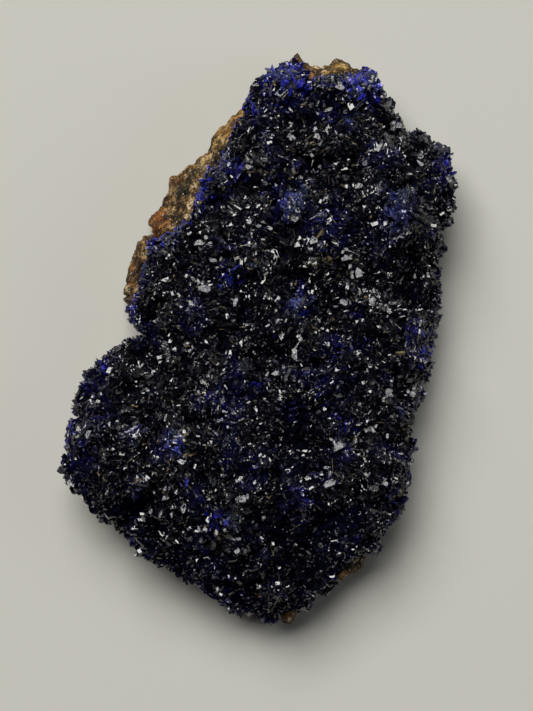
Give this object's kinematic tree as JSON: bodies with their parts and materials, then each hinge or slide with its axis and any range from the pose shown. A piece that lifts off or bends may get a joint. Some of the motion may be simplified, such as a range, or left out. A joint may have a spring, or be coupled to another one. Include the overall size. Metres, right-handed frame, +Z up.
{
  "type": "azurite specimen",
  "caption": "Hand specimen: a crust of intergrown tabular azurite crystals on a slab of brown limonite, lying on its flat back.",
  "frame": {"origin": "under the middle of the specimen, on the surface that it rests on", "axes": "+Y along the specimen's length to its narrow end, +Z up, out of the crystal face"},
  "size_m": [0.0289, 0.0412, 0.0092],
  "materials": {
    "azurite": "polished",
    "limonite": "matte"
  },
  "bodies": {
    "root": {"azurite_crust": "azurite", "limonite_matrix": "limonite"}
  },
  "joints": []
}
